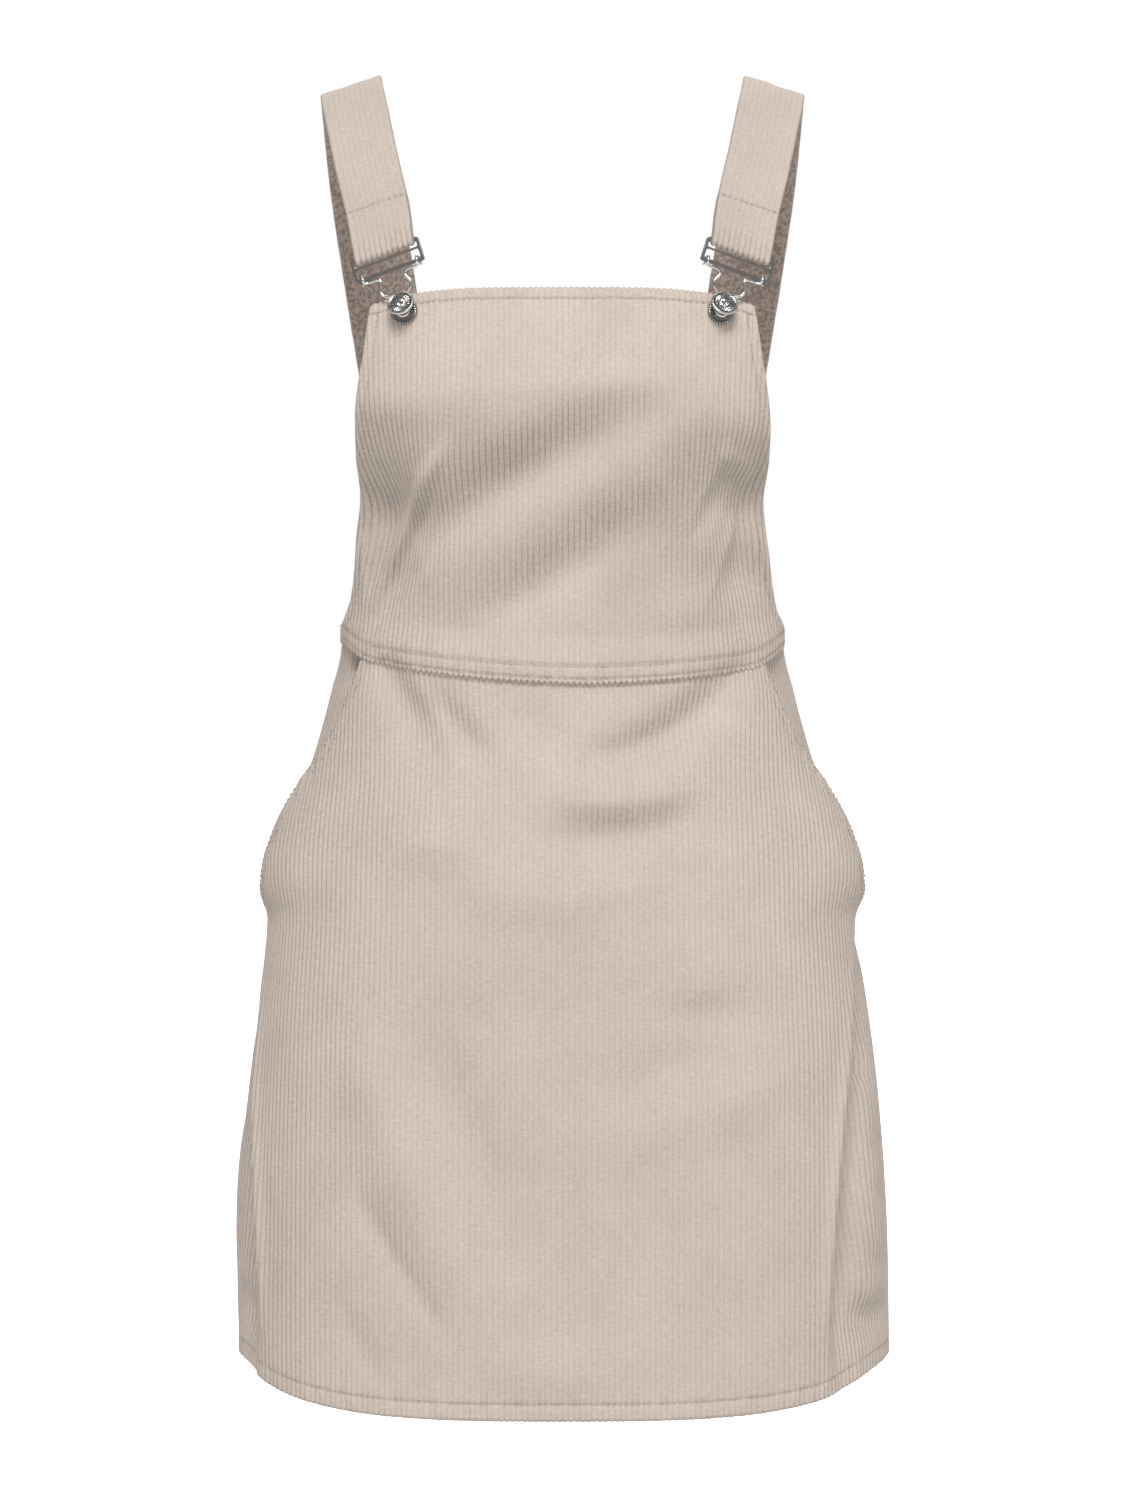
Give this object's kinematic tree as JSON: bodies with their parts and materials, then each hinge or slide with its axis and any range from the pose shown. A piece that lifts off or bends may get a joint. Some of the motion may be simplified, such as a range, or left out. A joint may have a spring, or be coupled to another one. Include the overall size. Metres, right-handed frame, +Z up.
{
  "type": "pinafore dress",
  "caption": "Sleeveless wide-wale corduroy pinafore dress with a bib, hooked shoulder straps and curved front pockets, hollow as if worn.",
  "frame": {"origin": "middle of the two strap crests' undersides, where the wearer's shoulders carry the dress", "axes": "+X towards the wearer's left, -Y out of the front, +Z up"},
  "size_m": [0.4248, 0.2402, 0.8426],
  "materials": {
    "corduroy": "wide-wale cotton corduroy, brushed pile, pale stone beige",
    "buckle_steel": "polished dark nickel with bright edges",
    "hook_wire": "polished nickel wire",
    "button_steel": "antiqued nickel, dark in the hollows",
    "tack_steel": "plain nickel"
  },
  "bodies": {
    "root": {"bib_front": "corduroy", "bib_back": "corduroy", "skirt_front": "corduroy", "skirt_back": "corduroy", "pocket_left": "corduroy", "pocket_right": "corduroy", "strap_left": "corduroy", "strap_right": "corduroy", "buckle_frame_left": "buckle_steel", "hook_left": "hook_wire", "button_cap_left": "button_steel", "button_base_left": "button_steel", "button_tack_left": "tack_steel", "buckle_frame_right": "buckle_steel", "hook_right": "hook_wire", "button_cap_right": "button_steel", "button_base_right": "button_steel", "button_tack_right": "tack_steel"}
  },
  "joints": []
}
